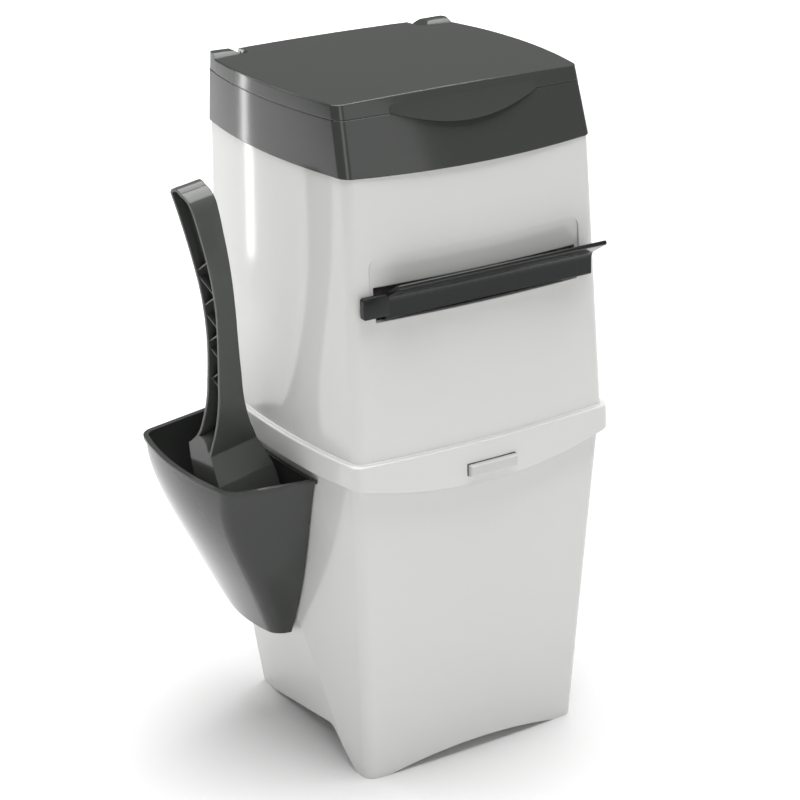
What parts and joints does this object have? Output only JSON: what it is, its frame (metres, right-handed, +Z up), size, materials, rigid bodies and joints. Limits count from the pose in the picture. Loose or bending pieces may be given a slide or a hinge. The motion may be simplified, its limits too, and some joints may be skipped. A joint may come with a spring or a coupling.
{
  "type": "litter disposal pail",
  "caption": "Tapered litter disposal pail: tilting upper unit with film cassette and pull gate, hinged lid, and a side pouch holding a scoop.",
  "frame": {"origin": "on the floor, under the middle of the pail's base", "axes": "+Z up, +Y to the back, +X to the right as seen from the front"},
  "size_m": [0.3114, 0.252, 0.5282],
  "materials": {
    "pail_white": "glossy moulded, white",
    "steel_pins": "turned, plain",
    "inner_white": "plain moulded, white",
    "band_white": "glossy moulded, white",
    "button_grey": "glossy moulded, light grey",
    "inner_dark": "plain moulded",
    "housing_white": "glossy moulded, white",
    "charcoal": "glossy moulded, charcoal",
    "seal_rubber": "soft, matt",
    "gate_white": "plain moulded, white",
    "handle_grey": "glossy moulded, charcoal",
    "steel_screws": "zinc plated",
    "cassette_blue": "plain moulded, blue",
    "film_white": "pleated film, packed",
    "blade_steel": "ground",
    "scoop_grey": "glossy moulded, charcoal"
  },
  "bodies": {
    "pail": {"pail": "pail_white", "latch_catch": "inner_white", "rear_hinge_pins": "steel_pins"},
    "upper": {"upper_housing": "housing_white", "mid_frame": "band_white", "top_rim": "charcoal", "hopper": "inner_white", "rail_left": "inner_white", "rail_right": "inner_white", "fixed_jaw": "inner_white", "jaw_strip": "seal_rubber", "cassette_tray": "cassette_blue", "cassette_cover": "cassette_blue", "film_pack": "film_white", "bag_film": "film_white", "cutter_holder": "charcoal", "cutter_blade": "blade_steel", "rim_screws": "steel_screws", "rail_screws": "steel_screws", "lid_hinge_pins": "steel_pins"},
    "lid": {"lid": "charcoal"},
    "gate": {"gate_plate": "gate_white", "gate_handle": "handle_grey", "gate_strip": "seal_rubber", "handle_screws": "steel_screws"},
    "button": {"release_button": "button_grey", "latch_hook": "inner_dark", "button_spring": "steel_pins"},
    "bin": {"scoop_bin": "charcoal"},
    "scoop": {"scoop": "scoop_grey"}
  },
  "joints": [
    {"name": "upper_tilt", "type": "hinge", "parent": "pail", "child": "upper", "pos_m": [0, 0.118, 0.2506], "axis": [-1, 0, 0], "range_deg": [0, 90]},
    {"name": "lid_hinge", "type": "hinge", "parent": "upper", "child": "lid", "pos_m": [0, 0.0955, 0.5166], "axis": [-1, 0, 0], "range_deg": [0, 100]},
    {"name": "gate_slide", "type": "slide", "parent": "upper", "child": "gate", "axis": [0, -1, 0], "range_m": [0, 0.13]},
    {"name": "button_push", "type": "slide", "parent": "upper", "child": "button", "axis": [0, 1, 0], "range_m": [0, 0.002], "stiffness_N_per_m": 300},
    {"name": "bin_lift", "type": "slide", "parent": "pail", "child": "bin", "axis": [0, 0, 1], "range_m": [0, 0.006]},
    {"name": "scoop_lift", "type": "slide", "parent": "bin", "child": "scoop", "axis": [-0.1104, -0.0155, 0.9938], "range_m": [0, 0.16]}
  ]
}
